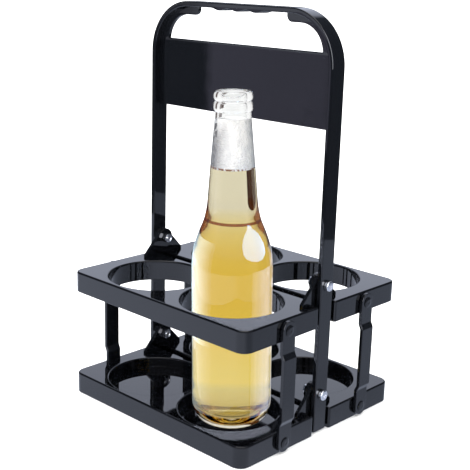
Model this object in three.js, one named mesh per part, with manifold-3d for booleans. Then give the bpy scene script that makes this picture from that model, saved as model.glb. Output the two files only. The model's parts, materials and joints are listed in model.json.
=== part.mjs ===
// Folding carrier for four bottles, with one bottle of beer in its front right place.
// Millimetres, +Z up. The origin is on the floor under the middle of the carrier.
// X runs along the handle's width, and the front half is at -Y.
import * as THREE from 'three';
import { mergeVertices } from 'three/addons/utils/BufferGeometryUtils.js';
import Module from 'manifold-3d';

const wasm = await Module();
wasm.setup();

// Driving dimensions of the carrier
const holeDiameter = 80;
const trayWidth = 196;
const trayDepth = 184;
const trayHeight = 17.2;
const trayPitch = 89.5;
const holeX = 42.5;
const holeY = 47.5;
const gapBetweenHalves = 6.4;
const skin = 2.4;
const cupDepth = 8.6;
const floorThickness = 2.2;
const trayCornerRadius = 9;
const trayEdge = 1.5;
const wallEndRadius = 2;
const narrowRimReach = 14;

// Handle: two legs, a rounded top and a thin web between them
const handleHeight = 325.4;
const handleWidth = 193.2;
const handleCornerRadius = 42;
const handleEdge = 0.9;
const bandThickness = 4.2;
const bandDepth = 14.4;
const legClearance = 0.8;
const webThickness = 3.2;
const panelBottom = 239;
const panelTop = 294.6;
const lipHeight = 314.5;
const lipReach = 46.5;
const lipRadius = 5;
const openingHalfWidth = 82;
const openingCornerRadius = 22;
const fingerWaves = 3;
const fingerPitch = 19;
const fingerDepth = 1.8;

// Pivots: ears on the half trays, bolted to the legs
const pivotAboveTray = 14.5;
const earThickness = 3.2;
const earRadius = 8;
const earFoot = 22.5;
const earFootHeight = 2.2;
const earGap = 0.4;
const notchDepthY = 10;
const shankDiameter = 4;
const boltHeadDiameter = 8.4;
const boltHeadHeight = 3.4;
const recessLength = 4.2;
const recessWidth = 0.9;
const nutAcrossFlats = 7;
const nutHeight = 4.2;
const nutEdge = 0.35;
const boltEndPastNut = 0.8;
const clearance = 0.3;

// Links: joggled straps outside the trays, each on a peg of either tray
const linkWidth = 13.8;
const linkThickness = 3;
const linkOverPin = 7.4;
const linkJoggle = 2;
const joggleHeight = 4.8;
const upperJoggle = 81;
const lowerJoggle = 28.2;
const pegDiameter = 5.6;
const pegHeadDiameter = 8.4;
const pegHeadHeight = 0.8;

// Bottle
const bottleDiameter = 61.6;
const bottleTop = 266;
const glassWall = 2.7;
const glassBase = 10;
const heelRadius = 12;
const heelRise = 16;
const innerHeelRadius = 12;
const innerHeelRise = 14;
const puntHeight = 1.4;
const shoulderStart = 134;
const mouthRadius = 10;
const beerTop = 209.4;
const foamTop = 246;
const bottleX = 44.1;
const bottleY = -46;
const bottleLean = 1.24;
const leanTowards = 223.3;

// Worked out from the above
const holeRadius = holeDiameter / 2;
const halfWidth = trayWidth / 2;
const halfDepth = trayDepth / 2;
const innerEdge = gapBetweenHalves / 2;
const legOuter = handleWidth / 2;
const legInner = legOuter - bandThickness;
const earOuterFace = legInner - 0.5;
const earInnerFace = earOuterFace - 2 * earThickness - earGap;
const boltHeadSeat = legOuter + clearance;
const nutSeat = earInnerFace - clearance;
const bearingDiameter = shankDiameter + 2 * clearance + 0.2;
const pinHeight = trayHeight / 2;
const linkInnerFace = halfWidth + 0.4;
const cupFloor = trayHeight - cupDepth;

// Fineness of round shapes
const holeSegments = 32;
const bottleSegments = 28;
const pinSegments = 14;
const headSegments = 16;
const archSegments = 10;
const earSegments = 7;
const cornerSegments = 4;

// How far a cutter runs past what it cuts, so that no skin is left
const past = 2;

// Solids

function toSolid(geometry) {
  const plain = geometry.index ? geometry.toNonIndexed() : geometry.clone();
  plain.deleteAttribute('normal');
  plain.deleteAttribute('uv');
  const merged = mergeVertices(plain, 1e-4);
  return new wasm.Manifold(new wasm.Mesh({
    numProp: 3,
    vertProperties: merged.attributes.position.array,
    triVerts: new Uint32Array(merged.index.array),
  }));
}

function toGeometry(solid) {
  const mesh = solid.getMesh();
  const geometry = new THREE.BufferGeometry();
  geometry.setAttribute('position', new THREE.BufferAttribute(new Float32Array(mesh.vertProperties), 3));
  geometry.setIndex(new THREE.BufferAttribute(new Uint32Array(mesh.triVerts), 1));
  geometry.computeVertexNormals();
  return geometry;
}

// Extrudes a shape from one height to another, with its rims eased by edge.
function extrudeBetween(shape, from, to, edge = 0, arcSegments = cornerSegments) {
  const geometry = new THREE.ExtrudeGeometry(shape, {
    depth: to - from - 2 * edge,
    curveSegments: arcSegments,
    bevelEnabled: edge > 0,
    bevelSize: edge,
    bevelThickness: edge,
    bevelOffset: -edge,
    bevelSegments: 1,
  });
  geometry.translate(0, 0, from + edge);
  return geometry;
}

// The shape is drawn in X and Y and rises along Z.
function alongZ(shape, from, to, edge) {
  return toSolid(extrudeBetween(shape, from, to, edge));
}

// The shape is drawn in Y and Z and runs along X.
function alongX(shape, from, to, edge, arcSegments) {
  const turn = new THREE.Matrix4().makeBasis(
    new THREE.Vector3(0, 1, 0),
    new THREE.Vector3(0, 0, 1),
    new THREE.Vector3(1, 0, 0),
  );
  return toSolid(extrudeBetween(shape, from, to, edge, arcSegments).applyMatrix4(turn));
}

// The shape is drawn in X and Z and is centred on the handle's plane.
function alongY(shape, depth, edge, arcSegments) {
  const geometry = extrudeBetween(shape, -depth / 2, depth / 2, edge, arcSegments);
  geometry.rotateX(Math.PI / 2);
  return toSolid(geometry);
}

function box(x0, x1, y0, y1, z0, z1) {
  const geometry = new THREE.BoxGeometry(x1 - x0, y1 - y0, z1 - z0);
  geometry.translate((x0 + x1) / 2, (y0 + y1) / 2, (z0 + z1) / 2);
  return toSolid(geometry);
}

// A turned solid about a vertical axis at (x, y). The profile lists [radius, height].
function turned(profile, x, y, segments = holeSegments) {
  const points = profile.map(([radius, height]) => new THREE.Vector2(radius, height));
  const geometry = new THREE.LatheGeometry(points, segments);
  geometry.rotateX(Math.PI / 2);
  geometry.translate(x, y, 0);
  return toSolid(geometry);
}

// A round bar along X at (y, z).
function barX(diameter, x0, x1, y, z, segments = pinSegments) {
  const geometry = new THREE.CylinderGeometry(diameter / 2, diameter / 2, Math.abs(x1 - x0), segments);
  geometry.rotateZ(Math.PI / 2);
  geometry.translate((x0 + x1) / 2, y, z);
  return toSolid(geometry);
}

function unite(solids) {
  return solids.reduce((sum, solid) => sum.add(solid));
}

function cutAll(solid, cutters) {
  return cutters.reduce((rest, cutter) => rest.subtract(cutter), solid);
}

// Handle

// The outline of the rounded arch, drawn inset from its outer face.
function archOutline(inset, bottom) {
  const shape = new THREE.Shape();
  const side = legOuter - inset;
  const top = handleHeight - inset;
  const radius = handleCornerRadius - inset;
  const centreX = legOuter - handleCornerRadius;
  const centreZ = handleHeight - handleCornerRadius;
  shape.moveTo(-side, bottom);
  shape.lineTo(side, bottom);
  shape.lineTo(side, centreZ);
  shape.absarc(centreX, centreZ, radius, 0, Math.PI / 2, false);
  shape.lineTo(-centreX, top);
  shape.absarc(-centreX, centreZ, radius, Math.PI / 2, Math.PI, false);
  shape.lineTo(-side, bottom);
  return shape;
}

// The band runs up one leg, over the top and down the other, with finger waves under the grip.
function band() {
  const arch = alongY(archOutline(0, legClearance), bandDepth, handleEdge, archSegments);
  const inside = alongY(archOutline(bandThickness, legClearance - past), bandDepth + past, 0, archSegments);
  const grip = new THREE.Shape();
  const underside = handleHeight - bandThickness;
  const reach = fingerWaves * fingerPitch / 2;
  const stepsPerWave = 8;
  grip.moveTo(reach, underside + 1);
  grip.lineTo(-reach, underside + 1);
  for (let step = 0; step <= fingerWaves * stepsPerWave; step += 1) {
    const wave = step / stepsPerWave;
    const drop = fingerDepth * (1 - Math.cos(2 * Math.PI * wave)) / 2;
    grip.lineTo(-reach + wave * fingerPitch, underside - drop);
  }
  return arch.subtract(inside).add(alongY(grip, bandDepth - 2 * handleEdge, 0));
}

// The web: the blank panel and the two corner gussets, round a D-shaped hand opening.
function web() {
  const plate = alongY(archOutline(bandThickness / 2, panelBottom), webThickness, 0, archSegments);
  const opening = new THREE.Shape();
  const turnX = openingHalfWidth - openingCornerRadius;
  const turnZ = lipHeight - openingCornerRadius;
  const lowTurn = Math.asin((panelTop - turnZ) / openingCornerRadius);
  const lowX = turnX + openingCornerRadius * Math.cos(lowTurn);
  const lipX = lipReach + lipRadius;
  const lipZ = lipHeight + lipRadius;
  const aboveGrip = handleHeight - bandThickness / 2;
  opening.moveTo(-lowX, panelTop);
  opening.lineTo(lowX, panelTop);
  opening.absarc(turnX, turnZ, openingCornerRadius, lowTurn, Math.PI / 2, false);
  opening.lineTo(lipX, lipHeight);
  opening.absarc(lipX, lipZ, lipRadius, -Math.PI / 2, -Math.PI, true);
  opening.lineTo(lipReach, aboveGrip);
  opening.lineTo(-lipReach, aboveGrip);
  opening.lineTo(-lipReach, lipZ);
  opening.absarc(-lipX, lipZ, lipRadius, 0, -Math.PI / 2, true);
  opening.lineTo(-turnX, lipHeight);
  opening.absarc(-turnX, turnZ, openingCornerRadius, Math.PI / 2, Math.PI - lowTurn, false);
  opening.lineTo(-lowX, panelTop);
  return plate.subtract(alongY(opening, webThickness + past, 0));
}

function handleFrame() {
  const bolts = [];
  for (const level of [0, trayPitch]) {
    const height = level + trayHeight + pivotAboveTray;
    bolts.push(barX(bearingDiameter, -legOuter - past, legOuter + past, 0, height));
  }
  return cutAll(unite([band(), web()]), bolts);
}

// Half trays

// Plan of the front half tray, inset for the pocket under it.
function halfOutline(inset) {
  const shape = new THREE.Shape();
  const side = halfWidth - inset;
  const notch = earOuterFace - inset;
  const front = -halfDepth + inset;
  const back = -innerEdge - inset;
  const wallEnd = -notchDepthY - inset;
  const corner = trayCornerRadius - inset;
  shape.moveTo(-notch, back);
  shape.lineTo(-notch, wallEnd);
  shape.lineTo(-side + wallEndRadius, wallEnd);
  shape.absarc(-side + wallEndRadius, wallEnd - wallEndRadius, wallEndRadius, Math.PI / 2, Math.PI, false);
  shape.lineTo(-side, front + corner);
  shape.absarc(-side + corner, front + corner, corner, Math.PI, 1.5 * Math.PI, false);
  shape.lineTo(side - corner, front);
  shape.absarc(side - corner, front + corner, corner, -Math.PI / 2, 0, false);
  shape.lineTo(side, wallEnd - wallEndRadius);
  shape.absarc(side - wallEndRadius, wallEnd - wallEndRadius, wallEndRadius, 0, Math.PI / 2, false);
  shape.lineTo(notch, wallEnd);
  shape.lineTo(notch, back);
  shape.lineTo(-notch, back);
  return shape;
}

// The hollow under the tray, which leaves the outer walls, the collars round the holes or
// the cups with their floors, and the narrow rims beside them.
function pocket(bottom, hasFloor) {
  const roof = bottom + trayHeight - skin;
  const foot = hasFloor ? bottom + cupFloor - floorThickness : bottom - past;
  const above = roof + past;
  const radius = holeRadius + skin;
  const kept = [];
  for (const x of [-holeX, holeX]) {
    kept.push(turned([[0, foot], [radius, foot], [radius, above], [0, above]], x, -holeY));
    kept.push(box(x - narrowRimReach, x + narrowRimReach, -halfDepth, 0, foot, above));
  }
  return cutAll(alongZ(halfOutline(skin), bottom - past, roof, 0), kept);
}

// A bottle's hole with an eased rim, from a floor or from below the tray.
function bottleHole(x, floor, top) {
  return turned([
    [0, floor],
    [holeRadius, floor],
    [holeRadius, top - trayEdge],
    [holeRadius + trayEdge, top],
    [holeRadius + trayEdge, top + past],
    [0, top + past],
  ], x, -holeY);
}

// Where a line from a point touches the ear's round top, as an angle about the pivot.
function touchAngle(y, z, side) {
  const distance = Math.hypot(y, z);
  return Math.atan2(z, y) + side * Math.acos(earRadius / distance);
}

// An upright ear: a foot on the tray, rising to a round top about the pivot.
function ear(innerFace, outerFace, trayTop) {
  const shape = new THREE.Shape();
  const pivot = trayTop + pivotAboveTray;
  const root = trayTop - trayEdge;
  const shoulder = trayTop + earFootHeight;
  const outer = touchAngle(-earFoot, shoulder - pivot, -1);
  const inner = touchAngle(-innerEdge, trayTop - pivot, 1);
  shape.moveTo(-innerEdge - trayEdge, root);
  shape.lineTo(-innerEdge, trayTop);
  shape.absarc(0, pivot, earRadius, inner, outer + 2 * Math.PI, false);
  shape.lineTo(-earFoot, shoulder);
  shape.lineTo(-earFoot, root);
  shape.lineTo(-innerEdge - trayEdge, root);
  return alongX(shape, innerFace, outerFace, 0, earSegments);
}

// A peg on the side wall that a link turns on, with a low flat head.
function peg(side, bottom) {
  const height = bottom + pinHeight;
  const headSeat = linkInnerFace + linkThickness + clearance;
  const headTop = headSeat + pegHeadHeight;
  return unite([
    barX(pegDiameter, side * (halfWidth - skin / 2), side * (headSeat + pegHeadHeight / 2), -holeY, height),
    barX(pegHeadDiameter, side * headSeat, side * headTop, -holeY, height),
  ]);
}

// The front half tray. Turned half round, the same piece is the back half.
// Its left ear is the inner one of the pair and its right ear the outer one.
function halfTray(bottom, hasFloor) {
  const top = bottom + trayHeight;
  const block = alongZ(halfOutline(0), bottom - 2 * past, top, trayEdge);
  const below = box(-halfWidth - past, halfWidth + past, -halfDepth - past, 0, bottom - 3 * past, bottom);
  const floor = hasFloor ? bottom + cupFloor : bottom - past;
  const holes = [-holeX, holeX].map((x) => bottleHole(x, floor, top));
  const shell = cutAll(block, [below, pocket(bottom, hasFloor), ...holes]);
  const innerEarOuterFace = earInnerFace + earThickness;
  const ears = [
    ear(-innerEarOuterFace, -earInnerFace, top),
    ear(earOuterFace - earThickness, earOuterFace, top),
  ];
  const bearing = barX(bearingDiameter, -halfWidth, halfWidth, 0, top + pivotAboveTray);
  return unite([shell, ...ears, peg(-1, bottom), peg(1, bottom)]).subtract(bearing);
}

// Links

// The strap seen from the front: straight, joggled outwards between the trays, straight again.
function linkSection(bottom, top) {
  const inner = linkInnerFace;
  const outer = inner + linkThickness;
  const shape = new THREE.Shape();
  shape.moveTo(inner, bottom);
  shape.lineTo(outer, bottom);
  shape.lineTo(outer, lowerJoggle - joggleHeight);
  shape.lineTo(outer + linkJoggle, lowerJoggle);
  shape.lineTo(outer + linkJoggle, upperJoggle - joggleHeight);
  shape.lineTo(outer, upperJoggle);
  shape.lineTo(outer, top);
  shape.lineTo(inner, top);
  shape.lineTo(inner, upperJoggle);
  shape.lineTo(inner + linkJoggle, upperJoggle - joggleHeight);
  shape.lineTo(inner + linkJoggle, lowerJoggle);
  shape.lineTo(inner, lowerJoggle - joggleHeight);
  shape.lineTo(inner, bottom);
  return shape;
}

// The strap seen from the side: round at both ends.
function linkOutline(bottom, top) {
  const radius = linkWidth / 2;
  const shape = new THREE.Shape();
  shape.moveTo(radius, bottom + radius);
  shape.lineTo(radius, top - radius);
  shape.absarc(0, top - radius, radius, 0, Math.PI, false);
  shape.lineTo(-radius, bottom + radius);
  shape.absarc(0, bottom + radius, radius, Math.PI, 2 * Math.PI, false);
  return shape;
}

// A link on the right-hand side at y = 0.
function link() {
  const lowPin = pinHeight;
  const highPin = trayPitch + pinHeight;
  const bottom = lowPin - linkOverPin;
  const top = highPin + linkOverPin;
  const from = linkInnerFace - past;
  const to = linkInnerFace + linkThickness + linkJoggle + past;
  const strap = alongY(linkSection(bottom, top), linkWidth + past, 0);
  const outline = alongX(linkOutline(bottom, top), from, to, 0);
  const bore = pegDiameter + 2 * clearance;
  const holes = [lowPin, highPin].map((z) => barX(bore, from, to, 0, z));
  return cutAll(strap.intersect(outline), holes);
}

// Bolts and nuts

// A pan-head bolt through the right leg, with a cross recess in its head.
function bolt(height) {
  const profile = [
    [0, 0],
    [boltHeadDiameter / 2, 0],
    [boltHeadDiameter / 2, 0.6 * boltHeadHeight],
    [0.88 * boltHeadDiameter / 2, 0.88 * boltHeadHeight],
    [0.62 * boltHeadDiameter / 2, boltHeadHeight],
    [0, boltHeadHeight],
  ];
  const points = profile.map(([radius, along]) => new THREE.Vector2(radius, along));
  const head = new THREE.LatheGeometry(points, headSegments);
  head.rotateZ(-Math.PI / 2);
  head.translate(boltHeadSeat, 0, height);
  const recessFloor = boltHeadSeat + 0.45 * boltHeadHeight;
  const shankEnd = nutSeat - nutHeight - boltEndPastNut;
  const shank = barX(shankDiameter, shankEnd, boltHeadSeat + 0.3 * boltHeadHeight, 0, height);
  const long = recessLength / 2;
  const thin = recessWidth / 2;
  const above = boltHeadSeat + boltHeadHeight + past;
  const recess = [
    box(recessFloor, above, -long, long, height - thin, height + thin),
    box(recessFloor, above, -thin, thin, height - long, height + long),
  ];
  return cutAll(unite([toSolid(head), shank]), recess);
}

// The hexagon nut on the end of the bolt, inside the ears.
function nut(height) {
  const radius = nutAcrossFlats / Math.sqrt(3);
  const shape = new THREE.Shape();
  for (let corner = 0; corner < 6; corner += 1) {
    const angle = corner * Math.PI / 3;
    const y = radius * Math.cos(angle);
    const z = height + radius * Math.sin(angle);
    if (corner === 0) shape.moveTo(y, z);
    else shape.lineTo(y, z);
  }
  const body = alongX(shape, nutSeat - nutHeight, nutSeat, nutEdge);
  const bore = shankDiameter + 2 * clearance;
  return body.subtract(barX(bore, nutSeat - nutHeight - past, nutSeat + past, 0, height));
}

// Bottle and beer

const bottleBase = cupFloor + clearance;
const bodyRadius = bottleDiameter / 2;

// A rounded corner from a flat bottom up into a wall, as [radius, height].
function quarterTurn(wallRadius, floor, cornerRadius, rise, steps) {
  const points = [];
  for (let step = 0; step <= steps; step += 1) {
    const angle = step / steps * Math.PI / 2;
    const radius = wallRadius - cornerRadius + cornerRadius * Math.sin(angle);
    points.push([radius, floor + rise - rise * Math.cos(angle)]);
  }
  return points;
}

// The outside of the bottle as [radius, height]: heel, body, shoulder, neck, collar and lip.
function bottleOutside() {
  const points = quarterTurn(bodyRadius, bottleBase, heelRadius, heelRise, 5);
  points.push([bodyRadius, shoulderStart]);
  points.push(...shoulder(0));
  points.push([13.2, 250.8], [14.2, 252.2], [14.4, 255], [14.1, 257.6], [13.2, 258.8]);
  points.push([14.1, 260.2], [14.3, 262.8], [13.4, 265.2], [12, bottleTop]);
  return points;
}

// The S-curve from the body into the neck, and the neck's taper, inset by a wall.
function shoulder(wall) {
  const curve = new THREE.CatmullRomCurve3([
    new THREE.Vector3(bodyRadius - wall, shoulderStart + 2, 0),
    new THREE.Vector3(29.4 - wall, 148, 0),
    new THREE.Vector3(25.6 - wall, 160, 0),
    new THREE.Vector3(21.6 - wall, 170, 0),
    new THREE.Vector3(19.4 - wall, 180, 0),
    new THREE.Vector3(18.2 - wall, 193, 0),
    new THREE.Vector3(16.8 - wall, 210, 0),
  ]);
  return curve.getPoints(8).map((point) => [point.x, point.y]);
}

// The inside of the bottle up to a height, shrunk by a gap where beer or foam fills it.
function bottleInside(gap, from, to) {
  const wall = glassWall + gap;
  const floor = bottleBase + glassBase + gap;
  const wallLine = quarterTurn(bodyRadius - wall, floor, innerHeelRadius, innerHeelRise, 4);
  wallLine.push([bodyRadius - wall, shoulderStart]);
  wallLine.push(...shoulder(wall));
  wallLine.push([10.6 - gap, 248], [mouthRadius - gap, 256], [mouthRadius - gap, bottleTop + past]);
  return clipHeights(wallLine, Math.max(from, floor), to);
}

// The part of a rising line of [radius, height] between two heights, with its ends worked out.
function clipHeights(line, from, to) {
  const tiny = 0.01;
  const radiusAt = (height) => {
    for (let index = 1; index < line.length; index += 1) {
      const [r0, z0] = line[index - 1];
      const [r1, z1] = line[index];
      if (height >= z0 && height <= z1 && z1 > z0) return r0 + (r1 - r0) * (height - z0) / (z1 - z0);
    }
    return line[0][0];
  };
  const kept = line.filter(([, height]) => height > from + tiny && height < to - tiny);
  return [[radiusAt(from), from], ...kept, [radiusAt(to), to]];
}

function bottleGlass() {
  const outside = bottleOutside();
  const [footRadius, footHeight] = outside[0];
  const punt = [
    [0, footHeight + puntHeight],
    [0.7 * footRadius, footHeight + 0.65 * puntHeight],
    [footRadius - 2, footHeight],
  ];
  const body = turned([...punt, ...outside, [0, bottleTop]], 0, 0, bottleSegments);
  const wallLine = bottleInside(0, 0, bottleTop + past);
  const hollow = [[0, wallLine[0][1]], ...wallLine, [0, bottleTop + past]];
  return body.subtract(turned(hollow, 0, 0, bottleSegments));
}

function filling(from, to) {
  const side = bottleInside(clearance, from, to);
  return turned([[0, side[0][1]], ...side, [0, to]], 0, 0, bottleSegments);
}

// Finishes

const finishes = {
  blackPlastic: { color: 0x17191c, roughness: 0.22, metalness: 0 },
  brightSteel: { color: 0xc4c7cb, roughness: 0.25, metalness: 1 },
  clearGlass: { color: 0xe6ece6, roughness: 0.05, metalness: 0, transparent: true, opacity: 0.35 },
  beer: { color: 0xe6c66c, roughness: 0.1, metalness: 0 },
  foam: { color: 0xf2f1ea, roughness: 0.7, metalness: 0 },
};

function named(name, solid, finish) {
  const mesh = new THREE.Mesh(toGeometry(solid), new THREE.MeshStandardMaterial(finishes[finish]));
  mesh.name = name;
  return mesh;
}

// Assembly

const carrier = new THREE.Group();
carrier.add(named('handle_frame', handleFrame(), 'blackPlastic'));

const halfTurn = { front: 0, back: Math.PI };
const levels = { bottom: 0, top: trayPitch };

for (const [row, turn] of Object.entries(halfTurn)) {
  const half = new THREE.Group();
  half.rotation.z = turn;
  for (const [level, bottom] of Object.entries(levels)) {
    half.add(named(`tray_${level}_${row}`, halfTray(bottom, level === 'bottom'), 'blackPlastic'));
  }
  for (const side of ['left', 'right']) {
    const strap = named(`link_${row}_${side}`, link(), 'blackPlastic');
    const onRight = (side === 'right') === (row === 'front');
    strap.rotation.z = onRight ? 0 : Math.PI;
    strap.position.y = -holeY;
    half.add(strap);
  }
  carrier.add(half);
}

for (const side of ['left', 'right']) {
  const fittings = new THREE.Group();
  fittings.rotation.z = side === 'right' ? 0 : Math.PI;
  for (const [level, bottom] of Object.entries(levels)) {
    const pivot = bottom + trayHeight + pivotAboveTray;
    fittings.add(named(`bolt_${level}_${side}`, bolt(pivot), 'brightSteel'));
    fittings.add(named(`nut_${level}_${side}`, nut(pivot), 'brightSteel'));
  }
  carrier.add(fittings);
}

// The bottle stands in the front right place, leaning a little on its round heel.
const lean = THREE.MathUtils.degToRad(bottleLean);
const heading = THREE.MathUtils.degToRad(leanTowards);
const footRadius = bodyRadius - heelRadius;
const bottle = new THREE.Group();
bottle.position.set(bottleX, bottleY, bottleBase + footRadius * Math.sin(lean));
bottle.rotateOnAxis(new THREE.Vector3(-Math.sin(heading), Math.cos(heading), 0), lean);
for (const piece of [
  named('bottle_glass', bottleGlass(), 'clearGlass'),
  named('beer', filling(0, beerTop), 'beer'),
  named('beer_foam', filling(beerTop + clearance, foamTop), 'foam'),
]) {
  piece.position.z = -bottleBase;
  bottle.add(piece);
}
carrier.add(bottle);

export default carrier;
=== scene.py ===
import bmesh
import bpy
import json
from math import acos, asin, atan2, cos, degrees, hypot, pi, radians, sin, sqrt, tan
from mathutils import Matrix, Vector
from mathutils.geometry import tessellate_polygon

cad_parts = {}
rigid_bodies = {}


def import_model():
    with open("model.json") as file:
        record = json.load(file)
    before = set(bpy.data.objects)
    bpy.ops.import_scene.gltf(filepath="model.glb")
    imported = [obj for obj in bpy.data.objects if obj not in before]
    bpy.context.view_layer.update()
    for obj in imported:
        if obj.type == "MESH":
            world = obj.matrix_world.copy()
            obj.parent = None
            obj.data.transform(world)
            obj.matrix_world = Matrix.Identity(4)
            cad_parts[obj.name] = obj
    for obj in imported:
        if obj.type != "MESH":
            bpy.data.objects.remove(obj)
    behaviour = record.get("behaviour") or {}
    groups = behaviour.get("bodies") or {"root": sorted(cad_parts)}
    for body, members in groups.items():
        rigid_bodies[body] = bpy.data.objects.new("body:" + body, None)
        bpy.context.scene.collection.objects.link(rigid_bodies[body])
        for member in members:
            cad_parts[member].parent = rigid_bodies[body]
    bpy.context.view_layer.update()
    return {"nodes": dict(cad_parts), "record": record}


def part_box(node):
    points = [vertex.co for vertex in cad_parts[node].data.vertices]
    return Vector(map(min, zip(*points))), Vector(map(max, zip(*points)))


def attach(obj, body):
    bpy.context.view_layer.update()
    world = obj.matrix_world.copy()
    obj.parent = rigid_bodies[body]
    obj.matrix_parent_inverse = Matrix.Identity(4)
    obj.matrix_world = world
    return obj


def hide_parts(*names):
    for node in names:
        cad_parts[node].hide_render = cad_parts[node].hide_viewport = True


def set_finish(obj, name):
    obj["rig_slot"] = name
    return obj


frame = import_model()
print("frame loaded:", len(frame["nodes"]), "nodes")

scene = bpy.context.scene
mm = 0.001  # everything is drawn in millimetres and brought to metres when it is placed
tiny = 1e-6


def nodeBox(node):
    low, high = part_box(node)
    return low / mm, high / mm


# Sizes that several pieces share, read off the frame where they can be
trayLow = nodeBox("tray_bottom_front")[0]
topTrayLow = nodeBox("tray_top_front")[0]
handleLow, handleHigh = nodeBox("handle_frame")
trayPitch = topTrayLow.z - trayLow.z
levels = dict(bottom=0.0, top=trayPitch)
pivotLift = 31.7  # bolts above each tray's foot
boltHoleRadius, boltHoleSteps = 2.4, 32
placeX, placeY = 42.5, -47.5  # middle of a bottle place in the front half


# Drawing outlines

def arc(x, y, radius, start, end, steps):
    angles = [radians(start + (end - start) * i / steps) for i in range(steps + 1)]
    return [(x + radius * cos(a), y + radius * sin(a)) for a in angles]


def circle(x, y, radius, steps, clockwise=False):
    loop = arc(x, y, radius, 0, 360, steps)[:-1]
    return loop[::-1] if clockwise else loop


def mirrorOf(line):
    # the left half of an outline, from its right half
    return [(-x, y) for x, y in reversed(line)]


def smoothLine(points, stepsEach):
    # a centripetal curve through all the points, easing out at both ends
    pts = [Vector(p) for p in points]
    pts = [pts[0] * 2 - pts[1]] + pts + [pts[-1] * 2 - pts[-2]]
    line = []
    for p0, p1, p2, p3 in zip(pts, pts[1:], pts[2:], pts[3:]):
        d0, d1, d2 = (max(sqrt((b - a).length), tiny) for a, b in ((p0, p1), (p1, p2), (p2, p3)))
        m1 = ((p1 - p0) / d0 - (p2 - p0) / (d0 + d1) + (p2 - p1) / d1) * d1
        m2 = ((p2 - p1) / d1 - (p3 - p1) / (d1 + d2) + (p3 - p2) / d2) * d1
        for i in range(stepsEach):
            t = i / stepsEach
            line.append((2 * t**3 - 3 * t**2 + 1) * p1 + (t**3 - 2 * t**2 + t) * m1
                        + (3 * t**2 - 2 * t**3) * p2 + (t**3 - t**2) * m2)
    return [tuple(p) for p in line] + [tuple(pts[-2])]


def insetLoop(loop, distance):
    # outer loops run anticlockwise and holes clockwise, so the left side is always material
    count, mitreLimit = len(loop), 0.2
    moved = []
    for i in range(count):
        here = Vector(loop[i])
        along = (here - Vector(loop[i - 1])).normalized()
        onward = (Vector(loop[(i + 1) % count]) - here).normalized()
        n1, n2 = Vector((-along.y, along.x)), Vector((-onward.y, onward.x))
        moved.append(tuple(here + (n1 + n2) * (distance / max(1 + n1.dot(n2), mitreLimit))))
    return moved


# Making solids. Axis z stands an outline up, x lays it along X, y lays it along -Y.

axisMaps = dict(
    z=lambda u, v, w: (u, v, w),
    x=lambda u, v, w: (w, u, v),
    y=lambda u, v, w: (u, -w, v),
)


def meshObject(name, bm):
    bmesh.ops.recalc_face_normals(bm, faces=bm.faces)
    mesh = bpy.data.meshes.new(name)
    bm.to_mesh(mesh)
    bm.free()
    obj = bpy.data.objects.new(name, mesh)
    scene.collection.objects.link(obj)
    return obj


def prism(loops, low, high, axis="z", lowEdge=0.0, highEdge=0.0, steps=4):
    # an extruded outline with holes, with both rims rounded over
    rims = [(lowEdge * (1 - sin(a)), low + lowEdge * (1 - cos(a))) for a in quarter(steps, lowEdge)]
    rims += [(highEdge * (1 - cos(a)), high - highEdge * (1 - sin(a))) for a in quarter(steps, highEdge)]
    bm = bmesh.new()
    caps = {0: [], len(rims) - 1: []}
    for loop in loops:
        rings = []
        for inset, height in rims:
            ring = insetLoop(loop, inset) if inset else loop
            rings.append([bm.verts.new(axisMaps[axis](u, v, height)) for u, v in ring])
        for a, b in zip(rings, rings[1:]):
            for i in range(len(a)):
                bm.faces.new((a[i - 1], a[i], b[i], b[i - 1]))
        for level in caps:
            caps[level].append((insetLoop(loop, rims[level][0]) if rims[level][0] else loop, rings[level]))
    for parts in caps.values():
        flat = [[Vector((u, v, 0)) for u, v in loop] for loop, ring in parts]
        verts = [v for loop, ring in parts for v in ring]
        for triangle in tessellate_polygon(flat):
            bm.faces.new([verts[i] for i in triangle])
    return meshObject("prism", bm)


def quarter(steps, edge):
    return [i / steps * pi / 2 for i in range(steps + 1)] if edge else [0.0]


def turned(profile, x=0.0, y=0.0, z=0.0, segments=64, axis="z"):
    # a turned solid: the profile lists (radius, height), and starts and ends on the axis
    bm = bmesh.new()
    columns = []
    middle = [bm.verts.new((0, 0, h)) if r < tiny else None for r, h in profile]
    for s in range(segments):
        a = 2 * pi * s / segments
        columns.append([m or bm.verts.new((r * cos(a), r * sin(a), h)) for m, (r, h) in zip(middle, profile)])
    for s in range(segments):
        here, there = columns[s - 1], columns[s]
        for i in range(len(profile) - 1):
            corners = [here[i], there[i], there[i + 1], here[i + 1]]
            kept = [v for k, v in enumerate(corners) if v not in corners[:k]]
            if len(kept) > 2:
                bm.faces.new(kept)
    for v in bm.verts:
        u, w, h = v.co
        v.co = Vector(axisMaps[axis](u, w, h)) + Vector((x, y, z))
    return meshObject("turned", bm)


def boolean(obj, others, operation):
    for other in others:
        step = obj.modifiers.new("boolean", "BOOLEAN")
        step.operation = operation
        step.solver = "EXACT"
        step.object = other
        applyModifiers(obj)
        bpy.data.objects.remove(other)
    return obj


def cut(obj, *others):
    return boolean(obj, others, "DIFFERENCE")


def join(obj, *others):
    return boolean(obj, others, "UNION")


def applyModifiers(obj):
    shown = obj.evaluated_get(bpy.context.evaluated_depsgraph_get())
    mesh = bpy.data.meshes.new_from_object(shown)
    obj.modifiers.clear()
    obj.data = mesh


def turnHalf(obj):
    obj.data.transform(Matrix.Rotation(pi, 4, "Z"))
    return obj


def mirrored(obj):
    obj.data.transform(Matrix.Scale(-1, 4, (1, 0, 0)))
    obj.data.flip_normals()
    return obj


def copyOf(obj):
    twin = bpy.data.objects.new(obj.name, obj.data.copy())
    scene.collection.objects.link(twin)
    return twin


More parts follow.
